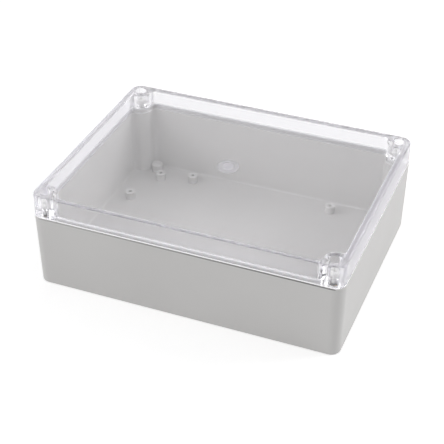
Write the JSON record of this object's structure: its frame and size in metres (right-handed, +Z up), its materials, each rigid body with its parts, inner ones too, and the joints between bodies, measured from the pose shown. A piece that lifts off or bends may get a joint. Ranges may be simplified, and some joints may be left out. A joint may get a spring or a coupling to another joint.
{
  "type": "enclosure",
  "caption": "Rectangular polycarbonate enclosure: opaque grey base with floor bosses, clear lift-off lid held by captive screws in corner towers, seal in a tongue and groove joint.",
  "frame": {"origin": "Middle of the underside of the base.", "axes": "+X to the right along the long side, +Y to the rear, +Z up through the lid; the front long side faces -Y."},
  "size_m": [0.25, 0.19, 0.082],
  "materials": {
    "grey_polycarbonate": "moulded, light grey, opaque, fine satin",
    "clear_polycarbonate": "clear, polished, transparent",
    "pale_seal": "foamed polyurethane, pale grey",
    "brass": "turned",
    "white_nylon": "moulded, natural white",
    "black_rubber": "smooth"
  },
  "bodies": {
    "base": {"base": "grey_polycarbonate", "insert_front_left": "brass", "insert_front_right": "brass", "insert_rear_left": "brass", "insert_rear_right": "brass"},
    "lid": {"lid": "clear_polycarbonate", "gasket": "pale_seal"},
    "screw_front_left": {"screw_front_left": "white_nylon", "retaining_ring_front_left": "black_rubber"},
    "screw_front_right": {"screw_front_right": "white_nylon", "retaining_ring_front_right": "black_rubber"},
    "screw_rear_left": {"screw_rear_left": "white_nylon", "retaining_ring_rear_left": "black_rubber"},
    "screw_rear_right": {"screw_rear_right": "white_nylon", "retaining_ring_rear_right": "black_rubber"}
  },
  "joints": [
    {"name": "lid_lift", "type": "slide", "parent": "base", "child": "lid", "axis": [0, 0, 1], "range_m": [0, 0.12]},
    {"name": "screw_front_left_lift", "type": "slide", "parent": "lid", "child": "screw_front_left", "axis": [0, 0, 1], "range_m": [0, 0.0043]},
    {"name": "screw_front_right_lift", "type": "slide", "parent": "lid", "child": "screw_front_right", "axis": [0, 0, 1], "range_m": [0, 0.0043]},
    {"name": "screw_rear_left_lift", "type": "slide", "parent": "lid", "child": "screw_rear_left", "axis": [0, 0, 1], "range_m": [0, 0.0043]},
    {"name": "screw_rear_right_lift", "type": "slide", "parent": "lid", "child": "screw_rear_right", "axis": [0, 0, 1], "range_m": [0, 0.0043]}
  ]
}
